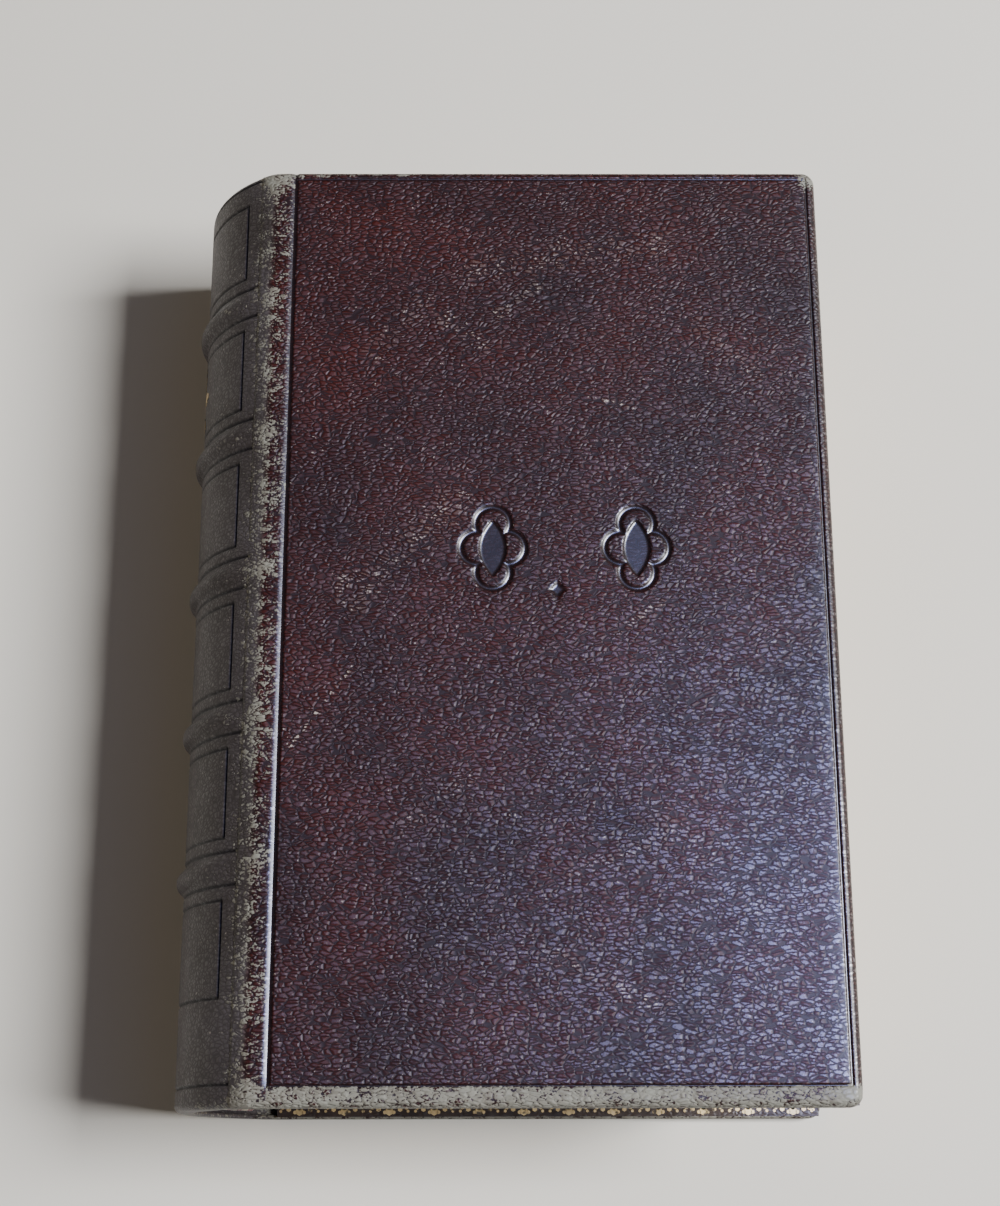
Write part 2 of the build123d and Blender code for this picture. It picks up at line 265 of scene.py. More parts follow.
def moroccoFinish(grain, scuff, clouds):
    finish, tree, shader = principled("moroccoLeather")
    rest = restSocket(tree)
    pressed = attributeSocket(tree, "pressed")
    wear = attributeSocket(tree, "wear")
    faded = attributeSocket(tree, "faded")
    pebble = fill(tree, grain, {"Place": rest, "Size": morocco["grainSize"]})
    blotch = fill(tree, clouds, {"Place": rest, "Size": 16 * mm, "Low": 0.36, "High": 0.66})["Mask"]
    fine = fill(tree, clouds, {"Place": rest, "Size": 2.2 * mm, "Low": 0.30, "High": 0.72})["Mask"]
    dust = fill(tree, clouds, {"Place": rest, "Size": 7 * mm, "Low": 0.44, "High": 0.70})["Mask"]
    coverTone = blendColour(tree, blotch, morocco["coverDeep"], morocco["cover"])
    spineTone = blendColour(tree, blotch, morocco["spineDeep"], morocco["spine"])
    tone = blendColour(tree, faded, coverTone, spineTone)
    # painted shade: the creases between the pebbles are darkened in the base colour, standing in for the
    # shadow in those valleys
    dark = calc(tree, "MULTIPLY", pebble["Crease"], span(tree, faded, 0.0, 1.0, 0.85, 0.35))
    tone = blendColour(tree, dark, tone, morocco["paintedCreaseShade"])
    marks = None
    middle = Vector(((coverLow.x + coverHigh.x) / 2, 0, bookTop))
    for start, end, width, strength in scrapes:
        ends = [middle + Vector((p[0], p[1], 0)) * mm for p in (start, end)]
        mask = fill(tree, scuff, {"Place": rest, "Start": ends[0], "End": ends[1], "Width": width * mm,
                                  "Strength": strength})["Mask"]
        marks = mask if marks is None else calc(tree, "MAXIMUM", marks, mask)
    marks = calc(tree, "MULTIPLY", marks, span(tree, fine, 0.05, 0.95, 0.25, 1.05))
    speckle = {"Vector": rest, "Scale": 1 / morocco["speckSize"], "Detail": 1.5}
    crumbs = node(tree, "TexNoise", speckle).outputs[0]  # pale specks, more of them where it is rubbed
    limit = calc(tree, "SUBTRACT", morocco["specks"], calc(tree, "MULTIPLY", marks, 0.42))
    limit = calc(tree, "SUBTRACT", limit, calc(tree, "MULTIPLY", dust, 0.07))
    limit = calc(tree, "SUBTRACT", limit, calc(tree, "MULTIPLY", pebble["Cell"], 0.10))
    tips = span(tree, calc(tree, "SUBTRACT", crumbs, limit), 0.0, 0.05)
    tips = calc(tree, "MULTIPLY", tips, span(tree, pebble["Height"], 0.30, 0.85))
    tips = calc(tree, "MULTIPLY", tips, calc(tree, "SUBTRACT", 1.0, pressed))
    tone = blendColour(tree, calc(tree, "MULTIPLY", tips, 0.80), tone, morocco["speck"])
    dusty = calc(tree, "MULTIPLY", crumbs, pebble["Height"])
    haze = calc(tree, "MULTIPLY", marks, span(tree, dusty, 0.22, 0.55))
    tone = blendColour(tree, calc(tree, "MULTIPLY", haze, 0.55), tone, morocco["speck"])
    tone = blendColour(tree, calc(tree, "MULTIPLY", pressed, span(tree, faded, 0.0, 1.0, 0.75, 0.95)), tone,
                       morocco["pressed"])
    level = calc(tree, "ADD", wear, calc(tree, "MULTIPLY", calc(tree, "SUBTRACT", crumbs, 0.5), 1.5))
    uneven = calc(tree, "SUBTRACT", pebble["Cell"], 0.5)
    level = calc(tree, "ADD", level, calc(tree, "MULTIPLY", uneven, 0.45))
    level = calc(tree, "ADD", level, calc(tree, "MULTIPLY", calc(tree, "SUBTRACT", fine, 0.5), 0.5))
    level = calc(tree, "SUBTRACT", level, calc(tree, "MULTIPLY", pebble["Crease"], 0.28))
    rubbed = calc(tree, "MULTIPLY", span(tree, level, 0.46, 0.66), span(tree, wear, 0.02, 0.20))
    worn = blendColour(tree, fine, morocco["rubbed"], morocco["bare"])
    tone = blendColour(tree, calc(tree, "MULTIPLY", rubbed, 0.86), tone, worn)
    connect(tree, tone, shader, "Base Color")
    rough = calc(tree, "ADD", morocco["roughness"], calc(tree, "MULTIPLY", fine, 0.12))
    burnished = calc(tree, "MULTIPLY", pressed, span(tree, faded, 0.0, 1.0, 0.20, -0.1))
    rough = calc(tree, "SUBTRACT", rough, burnished)
    rough = calc(tree, "ADD", rough, calc(tree, "MULTIPLY", rubbed, 0.22))
    connect(tree, rough, shader, "Roughness")
    shader.inputs["Specular IOR Level"].default_value = 0.28
    tops = calc(tree, "MULTIPLY", pebble["Height"], span(tree, crumbs, 0.30, 0.62, 0.25, 1.25))
    tops = calc(tree, "MULTIPLY", tops, span(tree, pebble["Cell"], 0.1, 0.95, 0.35, 1.5), clamp=True)
    fresh = span(tree, faded, 0.0, 1.0, 1.0, 0.25)
    polish = calc(tree, "MULTIPLY", span(tree, tops, 0.10, 0.95, 0.12, 1.0), fresh)
    unfaded = calc(tree, "SUBTRACT", 1.0, faded)
    tooled = calc(tree, "MULTIPLY", unfaded, calc(tree, "MULTIPLY", pressed, 0.75))
    polish = calc(tree, "MAXIMUM", polish, tooled)
    polish = calc(tree, "MULTIPLY", polish, span(tree, rubbed, 0.0, 1.0, 0.9, 0.2))
    connect(tree, polish, shader, "Coat Weight")
    shader.inputs["Coat IOR"].default_value = 1.9
    shader.inputs["Coat Roughness"].default_value = 0.31
    keep = calc(tree, "SUBTRACT", 1.0, calc(tree, "MULTIPLY", pressed, 0.88))
    keep = calc(tree, "MULTIPLY", keep, span(tree, faded, 0.0, 1.0, 1.0, 0.55))
    height = calc(tree, "MULTIPLY", pebble["Height"], keep)
    bumpInto(tree, shader, height, morocco["grainDepth"])
    return finish


turnIn = {"tone": (0.018, 0.011, 0.010), "light": (0.045, 0.028, 0.022)}


def turnInFinish(grain, clouds):
    finish, tree, shader = principled("turnInLeather")
    rest = restSocket(tree)
    pebble = fill(tree, grain, {"Place": rest, "Size": 0.6 * mm})
    blotch = fill(tree, clouds, {"Place": rest, "Size": 5 * mm, "Low": 0.35, "High": 0.7})["Mask"]
    connect(tree, blendColour(tree, blotch, turnIn["tone"], turnIn["light"]), shader, "Base Color")
    shader.inputs["Roughness"].default_value = 0.42
    bumpInto(tree, shader, pebble["Height"], 0.03 * mm)
    return finish


gold = {"bright": (0.86, 0.68, 0.36), "dull": (0.46, 0.34, 0.18)}


def goldFinish(clouds, name, wearSize, wornColour, low, high):
    finish, tree, shader = principled(name)
    rest = restSocket(tree)
    tarnish = fill(tree, clouds, {"Place": rest, "Size": 3 * mm, "Low": 0.35, "High": 0.7})["Mask"]
    lost = fill(tree, clouds, {"Place": rest, "Size": wearSize, "Low": low, "High": high})["Mask"]
    tone = blendColour(tree, tarnish, gold["bright"], gold["dull"])
    connect(tree, blendColour(tree, lost, tone, wornColour), shader, "Base Color")
    connect(tree, span(tree, lost, 0.0, 1.0, 0.75, 0.0), shader, "Metallic")
    connect(tree, span(tree, lost, 0.0, 1.0, 0.46, 0.6), shader, "Roughness")
    return finish


def edgeGoldFinish(clouds):  # burnished gold, the leaves showing as fine lines
    finish, tree, shader = principled("edgeGold")
    rest = restSocket(tree)
    lost = fill(tree, clouds, {"Place": rest, "Size": 9 * mm, "Low": 0.60, "High": 0.78})["Mask"]
    lines = node(tree, "TexWave", {"Vector": rest, "Scale": 1500.0, "Distortion": 1.2, "Detail": 2.0,
                                   "Detail Scale": 0.4}, bands_direction="Z").outputs["Fac"]
    tone = blendColour(tree, lines, (0.46, 0.29, 0.11), (0.82, 0.56, 0.23))
    connect(tree, blendColour(tree, lost, tone, (0.52, 0.42, 0.28)), shader, "Base Color")
    connect(tree, span(tree, lost, 0.0, 1.0, 0.85, 0.1), shader, "Metallic")
    connect(tree, span(tree, lost, 0.0, 1.0, 0.32, 0.7), shader, "Roughness")
    bumpInto(tree, shader, lines, 0.02 * mm)
    return finish


def paperFinish(clouds, name, pale, aged, coordinates="rest"):
    finish, tree, shader = principled(name)
    where = restSocket(tree) if coordinates == "rest" else node(tree, "TexCoord").outputs["Object"]
    toned = fill(tree, clouds, {"Place": where, "Size": 30 * mm, "Low": 0.35, "High": 0.75})["Mask"]
    foxing = fill(tree, clouds, {"Place": where, "Size": 4 * mm, "Low": 0.66, "High": 0.80})["Mask"]
    fibres = node(tree, "TexNoise", {"Vector": where, "Scale": 2400.0, "Detail": 3.0}).outputs[0]
    tone = blendColour(tree, toned, pale, aged)
    tone = blendColour(tree, calc(tree, "MULTIPLY", foxing, 0.5), tone, (0.42, 0.26, 0.12))
    connect(tree, tone, shader, "Base Color")
    shader.inputs["Roughness"].default_value = 0.86
    bumpInto(tree, shader, fibres, 0.012 * mm)
    return finish


def boardFinish(clouds):
    return paperFinish(clouds, "millboard", (0.30, 0.24, 0.17), (0.21, 0.17, 0.12), "object")


def clothFinish(name, tone, dark, threads):  # plain weave from two crossed waves
    finish, tree, shader = principled(name)
    where = node(tree, "TexCoord").outputs["Object"]
    across = node(tree, "TexWave", {"Vector": where, "Scale": threads}, bands_direction="Y").outputs["Fac"]
    along = node(tree, "TexWave", {"Vector": where, "Scale": threads}, bands_direction="Z").outputs["Fac"]
    weave = calc(tree, "MAXIMUM", across, along)
    connect(tree, blendColour(tree, weave, dark, tone), shader, "Base Color")
    shader.inputs["Roughness"].default_value = 0.85
    bumpInto(tree, shader, weave, 0.05 * mm)
    return finish


silk = {"red": (0.20, 0.030, 0.028), "cream": (0.52, 0.44, 0.30)}


def silkFinish():
    finish, tree, shader = principled("endbandSilk")
    turns = attributeSocket(tree, "windings")
    pair = calc(tree, "FRACT", calc(tree, "MULTIPLY", turns, 0.25))
    which = span(tree, pair, 0.48, 0.52)
    connect(tree, blendColour(tree, which, silk["red"], silk["cream"]), shader, "Base Color")
    shader.inputs["Roughness"].default_value = 0.38
    shader.inputs["Sheen Weight"].default_value = 0.4
    return finish


def floorFinish():
    finish, tree, shader = principled("paleFloor")
    where = node(tree, "TexCoord").outputs["Object"]
    soft = node(tree, "TexNoise", {"Vector": where, "Scale": 9.0, "Detail": 4.0}).outputs[0]
    connect(tree, blendColour(tree, soft, (0.66, 0.63, 0.57), (0.72, 0.69, 0.63)), shader, "Base Color")
    shader.inputs["Roughness"].default_value = 0.75
    return finish


def stops(low, high, coarse, busy):  # closer together in the busy stretches (from, to, step)
    made = [low]
    while made[-1] < high - 1e-7:
        here = made[-1]
        step = min([coarse] + [fine for a, b, fine in busy if a - 1e-9 <= here < b - 1e-9])
        starts = [a - here for a, b, fine in busy if here + 1e-9 < a < here + step]
        made.append(min([here + step, high] + [here + s for s in starts]))
    if made[-1] - made[-2] < 0.02 * mm and len(made) > 2:
        del made[-2]
    return made


def ruledGrid(xs, ys, place):  # each point of the grid moved to place(x, y)
    bm = bmesh.new()
    bmesh.ops.create_grid(bm, x_segments=len(xs) - 1, y_segments=len(ys) - 1, size=1)
    for v in bm.verts:
        i = round((v.co.x + 1) / 2 * (len(xs) - 1))
        j = round((v.co.y + 1) / 2 * (len(ys) - 1))
        v.co = place(xs[i], ys[j])
    return bm


def thicken(bm, thickness):  # the given side stays, the other lies under it
    bm.normal_update()
    under = {tuple(round(c, 7) for c in v.co): v.normal.copy() for v in bm.verts}
    grown = bmesh.ops.extrude_face_region(bm, geom=bm.faces[:])["geom"]
    for v in (g for g in grown if isinstance(g, bmesh.types.BMVert)):
        v.co -= under[tuple(round(c, 7) for c in v.co)] * thickness


def finishPiece(name, bm, finishes, masks=None, chooseFinish=None):
    bmesh.ops.remove_doubles(bm, verts=bm.verts, dist=1e-7)
    bmesh.ops.recalc_face_normals(bm, faces=bm.faces)
    mesh = bpy.data.meshes.new(name)
    bm.to_mesh(mesh)
    bm.free()
    piece = bpy.data.objects.new(name, mesh)
    bpy.context.scene.collection.objects.link(piece)
    for finish in finishes:
        mesh.materials.append(finish)
    for polygon in mesh.polygons:
        polygon.use_smooth = chooseFinish is None
        if chooseFinish:
            polygon.material_index = chooseFinish(polygon)
    rest = mesh.attributes.new("restPlace", "FLOAT_VECTOR", "POINT")
    for v in mesh.vertices:
        rest.data[v.index].vector = v.co
    for title, value in (masks or {}).items():
        layer = mesh.attributes.new(title, "FLOAT", "POINT")
        for v in mesh.vertices:
            layer.data[v.index].value = value(v.co)
    return piece


def smooth(value, low, high):
    t = min(1.0, max(0.0, (value - low) / (high - low)))
    return t * t * (3 - 2 * t)


def groove(away, halfWidth):  # 1 on the line, 0 outside it, with rounded walls
    t = abs(away) / halfWidth
    return (1 - t * t) ** 2 if t < 1 else 0.0


cover = {"corner": 1.7 * mm, "edgeRound": 1.0 * mm, "jointLine": 2.8 * mm, "foreMargin": 1.4 * mm,
         "headMargin": 1.3 * mm, "tailMargin": 2.6 * mm, "jointLineWidth": 0.58 * mm,
         "jointLineDepth": 0.22 * mm, "lineWidth": 0.30 * mm,
         "shoulder": 3.6 * mm, "shoulderDrop": 0.24 * mm, "undercut": 0.16 * mm,
         "wave": 0.07 * mm, "sideSteps": 4}
stamp = {"middle": (1.8 * mm, 8.0 * mm), "spacing": 19.2 * mm, "lobe": 2.9 * mm, "across": 2.0 * mm,
         "along": 3.4 * mm, "stroke": 0.60 * mm, "depth": 0.30 * mm, "leaf": 1.5 * mm,
         "leafReach": 3.7 * mm, "stop": (-1.0 * mm, -5.8 * mm), "stopSize": 1.35 * mm}
jointLineX = ridgeX + cover["jointLine"]
foreLineX = foreX - cover["foreMargin"]
headLineY = halfHeight - cover["headMargin"]
tailLineY = -halfHeight + cover["tailMargin"]
stampX = (coverLow.x + coverHigh.x) / 2 + stamp["middle"][0]
stampY = stamp["middle"][1]


def stampedOrnament(x, y):  # two quatrefoils, each with a sunken leaf, and a diamond between them
    best = 0.0
    for side in (-1, 1):
        p, q = x - stampX - side * stamp["spacing"] / 2, y - stampY
        lobes = [(-stamp["across"], 0), (stamp["across"], 0), (0, -stamp["along"]), (0, stamp["along"])]
        rim = min(math.hypot(p - a, q - b) for a, b in lobes) - stamp["lobe"]
        best = max(best, groove(rim + stamp["stroke"], stamp["stroke"]))
        bow = stamp["leaf"] * (1 - (q / stamp["leafReach"]) ** 2)
        if bow > -0.2 * mm:
            best = max(best, groove(max(0.0, abs(p) - bow), stamp["stroke"] * 0.85))
    p, q = x - stampX - stamp["stop"][0], y - stampY - stamp["stop"][1]
    inside = 1 - (abs(p) + abs(q)) / stamp["stopSize"]
    return max(best, min(1.0, inside * 2.2)) if inside > 0 else best


def toolLines(x, y):
    best = groove(x - jointLineX, cover["jointLineWidth"]) * smooth(y, tailLineY - 0.2 * mm, tailLineY)
    if jointLineX < x < foreLineX + 0.1 * mm:
        best = max(best, 0.7 * groove(y - headLineY, cover["lineWidth"]),
                   0.7 * groove(y - tailLineY, cover["lineWidth"]))
    if tailLineY < y < headLineY:
        best = max(best, 0.75 * groove(x - foreLineX, cover["lineWidth"]))
    return best


def roundedCorner(x, y):  # the fore-edge corners drawn in to a quarter circle
    c = cover["corner"]
    a, b = x - (foreX - c), abs(y) - (halfHeight - c)
    if a <= 0 or b <= 0:
        return x, y
    pull = max(a, b) / math.hypot(a, b)
    return foreX - c + a * pull, math.copysign(halfHeight - c + b * pull, y)


def edgeDistance(x, y):
    c = cover["corner"]
    a, b = x - (foreX - c), abs(y) - (halfHeight - c)
    if a > 0 and b > 0:
        return c - math.hypot(a, b)
    return c - max(a, b)


def edgeDrop(away, radius):
    if away >= radius:
        return 0.0
    return radius - math.sqrt(max(0.0, radius ** 2 - (radius - max(0.0, away)) ** 2))


def coverWear(co):
    x, y = co.x, co.y
    patches = noise.noise(Vector((x * 90, y * 90, 3.1)))
    wear = 0.0
    if co.x > jointLineX - 0.6 * mm:
        tail = 1 - smooth(y, tailLineY - 0.25 * mm, tailLineY + 0.15 * mm)
        head = (1 - smooth(halfHeight - y, 0.3 * mm, 1.1 * mm)) * smooth(patches, -0.05, 0.25)
        nearSpine = 1 - smooth(x, ridgeX + 8 * mm, ridgeX + 18 * mm)
        headLeft = (1 - smooth(halfHeight - y, 0.4 * mm, 1.9 * mm)) * nearSpine
        fore = 1 - smooth(foreX - x, -0.1 * mm, 0.4 * mm)
        wear = max(0.9 * tail, 0.62 * head, 0.66 * headLeft, 0.62 * fore)
    corner = math.hypot(foreX - x, halfHeight - abs(y))
    wear = max(wear, 0.9 * (1 - smooth(corner, 1.5 * mm, 4.5 * mm)))
    return wear


def makeCoverSkin(side, finish):
    flip = side == "back"
    stamped = not flip
    c = cover["corner"]
    r = cover["edgeRound"]
    w = cover["lineWidth"]
    ornament = stamp["spacing"] / 2 + stamp["across"] + stamp["lobe"] + 0.3 * mm
    busyX = [(jointLineX - 0.6 * mm, jointLineX + 0.6 * mm, 0.09 * mm),
             (foreLineX - w * 1.4, foreLineX + w * 1.4, 0.08 * mm), (foreX - r, foreX, 0.11 * mm)]
    busyY = [(headLineY - w * 1.4, headLineY + w * 1.4, 0.08 * mm),
             (tailLineY - w * 1.4, tailLineY + w * 1.4, 0.08 * mm),
             (-halfHeight, -halfHeight + r, 0.11 * mm), (halfHeight - r, halfHeight, 0.11 * mm)]
    if stamped:
        busyX.append((stampX - ornament, stampX + ornament, 0.17 * mm))
        busyY.append((stampY - 6.6 * mm, stampY + 6.6 * mm, 0.17 * mm))
    xs = stops(coverLow.x, foreX, 1.1 * mm, busyX)
    ys = stops(-halfHeight, halfHeight, 1.1 * mm, busyY)

    def depth(x, y):
        under = cover["undercut"] * (1 - smooth(x, jointLineX - 0.25 * mm, jointLineX - 0.02 * mm))
        pressed = toolLines(x, y) * cover["jointLineDepth"]
        if stamped:
            pressed = max(pressed, stampedOrnament(x, y) * stamp["depth"])
        lump = noise.noise(Vector((x * 45, y * 45, 1.7 if flip else 0.0))) * cover["wave"]
        return under + pressed - lump * smooth(edgeDistance(x, y), 0, 4 * mm)

    def placed(x, y):
        px, py = roundedCorner(x, y)
        slope = max(0.0, (px - foreX) / cover["shoulder"] + 1) ** 2 * cover["shoulderDrop"]
        z = bookTop - depth(px, py) - slope - edgeDrop(edgeDistance(px, py), r)
        return Vector((px, py, z))

    bm = ruledGrid(xs, ys, placed)
    rim = [e for e in bm.edges if e.is_boundary]
    foot = innerZ + 0.05 * mm
    sideTop = bookTop - r
    for step in range(cover["sideSteps"] + 2):
        grown = bmesh.ops.extrude_edge_only(bm, edges=rim)["geom"]
        rim = [g for g in grown if isinstance(g, bmesh.types.BMEdge)]
        for v in (g for g in grown if isinstance(g, bmesh.types.BMVert)):
            level = min(step + 1, cover["sideSteps"]) / cover["sideSteps"]
            v.co.z = min(v.co.z, sideTop) + (foot + 0.3 * mm - min(v.co.z, sideTop)) * level
            if step >= cover["sideSteps"]:
                share = (step + 1 - cover["sideSteps"]) / 2
                v.co.z = foot + 0.3 * mm * (1 - share)
                v.co.x -= 0.15 * mm * share if v.co.x > coverLow.x + c else 0.0
                v.co.y -= math.copysign(0.15 * mm * share, v.co.y)
    bmesh.ops.contextual_create(bm, geom=rim)
    if flip:
        for v in bm.verts:
            v.co.z = bookTop - v.co.z

    def pressedMask(co):
        pressed = toolLines(co.x, co.y)
        burnish = 0.30 * smooth(co.x, foreLineX - 1.5 * mm, foreLineX - 0.5 * mm)
        return min(1.0, max(burnish, 1.4 * max(pressed, stampedOrnament(co.x, co.y) if stamped else 0.0)))

    masks = {"pressed": pressedMask, "wear": coverWear, "faded": lambda co: 0.0}
    skin = finishPiece(f"{side}CoverLeather", bm, [finish], masks)
    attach(skin, f"{side}_cover")
    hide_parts(f"{side}_cover_leather")
    return skin


roll = {"width": 7.0 * mm, "inset": 0.3 * mm, "period": 6.1 * mm, "gold": 0.03 * mm, "margin": 0.45 * mm,
        "thickness": 0.22 * mm, "dotScale": 1.35, "lineIn": 4.1 * mm, "lineShort": 8 * mm,
        "lineWide": 0.22 * mm}


def makeTurnIn(side, finish):
    left, right, top, w = coverLow.x, foreX - roll["inset"], halfHeight - roll["inset"], roll["width"]
    bm = bmesh.new()
    outline = [(left, -top), (right, -top), (right, top), (left, top), (left, top - w), (right - w, top - w),
               (right - w, w - top), (left, w - top)]
    face = bm.faces.new([bm.verts.new((x, y, innerZ)) for x, y in outline])
    grown = bmesh.ops.extrude_face_region(bm, geom=[face])["geom"]
    under = [g for g in grown if isinstance(g, bmesh.types.BMVert)]
    bmesh.ops.translate(bm, vec=(0, 0, roll["thickness"]), verts=under)
    if side == "back":
        for v in bm.verts:
            v.co.z = bookTop - v.co.z
    piece = finishPiece(f"{side}TurnIn", bm, [finish], chooseFinish=lambda polygon: 0)
    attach(piece, f"{side}_cover")


def rollMotif():  # one repeat, in mm: along the edge, in from it, radius
    dots = [(0.0, 0.25, 0.42), (0.0, 0.85, 0.34), (0.0, 1.4, 0.26), (0.0, 1.9, 0.2)]  # the tooth
    for side in (-1, 1):
        dots += [(side * 1.5, 0.55, 0.26), (side * 1.15, 1.0, 0.2), (side * 1.75, 1.15, 0.22),
                 (side * 2.35, 0.8, 0.22), (side * 2.6, 0.3, 0.16), (side * 2.15, 1.65, 0.17),
                 (side * 0.62, 0.15, 0.2), (side * 0.7, 2.35, 0.16)]
    dots += [(3.05, 1.9, 0.2), (3.05, 1.25, 0.16), (3.05, 2.5, 0.16), (0.0, 2.9, 0.2)]
    return dots


def makeGiltRoll(side, finish):
    bm = bmesh.new()
    w = roll["margin"] + roll["inset"]
    wide, tall = foreX - w - coverLow.x, 2 * (halfHeight - w)
    runs = [(Vector((coverLow.x, -halfHeight + w, 0)), Vector((1, 0, 0)), Vector((0, 1, 0)), wide),
            (Vector((coverLow.x, halfHeight - w, 0)), Vector((1, 0, 0)), Vector((0, -1, 0)), wide),
            (Vector((foreX - w, -halfHeight + w, 0)), Vector((0, 1, 0)), Vector((-1, 0, 0)), tall)]
    for start, along, inward, length in runs:
        count = round(length / roll["period"])
        pitch = length / count
        for k in range(count):
            for x, y, radius in rollMotif():
                spot = start + along * (pitch * (k + 0.5) + x * mm) + inward * (y * mm)
                if spot.x > foreX - w or abs(spot.y) > halfHeight - w + 0.1 * mm:
                    continue
                size = roll["dotScale"] * radius * mm
                made = bmesh.ops.create_circle(bm, cap_ends=True, segments=6, radius=size)["verts"]
                bmesh.ops.translate(bm, vec=(spot.x, spot.y, innerZ), verts=made)
        line = start + along * (length / 2) + inward * roll["lineIn"]
        made = bmesh.ops.create_grid(bm, x_segments=1, y_segments=1, size=0.5)["verts"]
        lineLong, lineWide = length - roll["lineShort"], roll["lineWide"]
        size = Vector((lineLong, lineWide, 0)) if along.x else Vector((lineWide, lineLong, 0))
        for v in made:
            v.co = Vector((line.x + v.co.x * size.x, line.y + v.co.y * size.y, innerZ))
    grown = bmesh.ops.extrude_face_region(bm, geom=bm.faces[:])["geom"]
    tips = [g for g in grown if isinstance(g, bmesh.types.BMVert)]
    bmesh.ops.translate(bm, vec=(0, 0, -roll["gold"]), verts=tips)
    if side == "back":
        for v in bm.verts:
            v.co.z = bookTop - v.co.z
    piece = finishPiece(f"{side}GiltRoll", bm, [finish], chooseFinish=lambda polygon: 0)
    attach(piece, f"{side}_cover")


spine = {"leather": 0.55 * mm, "bandHalf": 1.75 * mm, "bandEnd": math.radians(52), "flankLine": 2.15 * mm,
         "frameLine": 4.0 * mm, "lineWidth": 0.32 * mm, "lineDepth": 0.20 * mm,
         "sideLine": math.radians(48.8), "headLines": (60.15 * mm, 63.4 * mm),
         "tailLines": (-50.75 * mm, -61.35 * mm), "capRound": 1.0 * mm, "capReach": 1.5 * mm,
         "tuck": 0.22 * mm}


def bandHump(angle, y):
    best = 0.0
    for middle in bandPlaces:
        t = abs(y - middle) / spine["bandHalf"]
        if t < 1:
            best = (1 - t ** 2.6) ** 1.6
    fade = max(0.0, 1 - (angle / spine["bandEnd"]) ** 2)
    return best * (bandRise * fade + 0.07 * mm)


def spineLines(angle, y):
    w = spine["lineWidth"]
    frames = [(middle + spine["frameLine"], after - spine["frameLine"])
              for middle, after in zip(bandPlaces, bandPlaces[1:])]
    frames += [(bandPlaces[-1] + spine["frameLine"], spine["headLines"][0]),
               (spine["tailLines"][0], bandPlaces[0] - spine["frameLine"])]
    best = 0.0
    for low, high in frames:
        if abs(angle) < spine["sideLine"] + 0.008:
            best = max(best, groove(y - low, w), groove(y - high, w))
        if low < y < high:
            best = max(best, groove((abs(angle) - spine["sideLine"]) * spineRadius, w))
    for middle in bandPlaces:
        away = abs(abs(y - middle) - spine["flankLine"])
        ending = 1 - smooth(abs(angle), math.radians(55), math.radians(58))
        best = max(best, groove(away, w * 1.15) * ending)
    best = max(best, groove(y - spine["headLines"][1], w), groove(y - spine["tailLines"][1], w))
    return best


def spineAngle(co):
    return math.atan2(co.z - midZ, spineX - co.x)


def ridgeWear(co):
    angle = abs(spineAngle(co))
    away = abs(angle - halfAngle) * spineRadius if co.x < ridgeX + 0.1 * mm else co.x - ridgeX
    inward = co.x > ridgeX
    patches = noise.noise(Vector((co.y * 140, 2.0, co.z * 100)))
    reach = (1.1 if inward else 2.2) * mm * (1 + 0.35 * patches)
    wear = max(0.60 * (1 - smooth(away, reach * 0.25, reach)), 0.47 * (1 - smooth(away, reach, 4.6 * mm)))
    ends = halfHeight - abs(co.y)
    wear = max(wear, 0.95 * (1 - smooth(math.hypot(ends * 0.75, away), 1.5 * mm, 5.2 * mm)))
    wear = max(wear, (0.52 + 0.3 * patches) * (1 - smooth(ends, 0.4 * mm, 1.3 * mm)))
    for middle in bandPlaces:
        wear = max(wear, 0.78 * (1 - smooth(math.hypot(co.y - middle, away * 0.8), 0.9 * mm, 2.6 * mm)))
        onTop = 1 - smooth(abs(co.y - middle), 0.5 * mm, 1.4 * mm)
        wear = max(wear, 0.34 * onTop * smooth(angle, 0.3, 0.9))
    return wear * (1.0 if co.z > midZ else 0.8)


rosette = {"petals": 8, "radius": 4.9 * mm, "petal": (0.8 * mm, 2.0 * mm), "heart": 1.5 * mm,
           "gold": 0.03 * mm}


def makeSpineGold(finish):  # what is left of the gold in the second panel
    bm = bmesh.new()
    middle = (bandPlaces[3] + bandPlaces[4]) / 2
    plates = [(0.0, 0.0, 0.0, rosette["heart"], rosette["heart"])]
    for k in range(rosette["petals"]):
        turn = 2 * math.pi * k / rosette["petals"]
        plates.append((rosette["radius"] * math.cos(turn), rosette["radius"] * math.sin(turn), turn,
                       rosette["petal"][1], rosette["petal"][0]))
    for across, along, turn, length, width in plates:
        made = bmesh.ops.create_circle(bm, cap_ends=True, segments=10, radius=1)["verts"]
        for v in made:
            p, q = v.co.x * length, v.co.y * width
            v.co.x = across + p * math.cos(turn) - q * math.sin(turn)
            v.co.y = along + p * math.sin(turn) + q * math.cos(turn)
    grown = bmesh.ops.extrude_face_region(bm, geom=bm.faces[:])["geom"]
    raised = {g for g in grown if isinstance(g, bmesh.types.BMVert)}
    for v in bm.verts:
        out = spineRadius + (0.05 * mm + rosette["gold"] if v in raised else 0.0)
        angle = v.co.x / spineRadius
        v.co = Vector((spineX - out * math.cos(angle), middle + v.co.y, midZ + out * math.sin(angle)))
    piece = finishPiece("spineGold", bm, [finish], chooseFinish=lambda polygon: 0)
    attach(piece, "book_block")


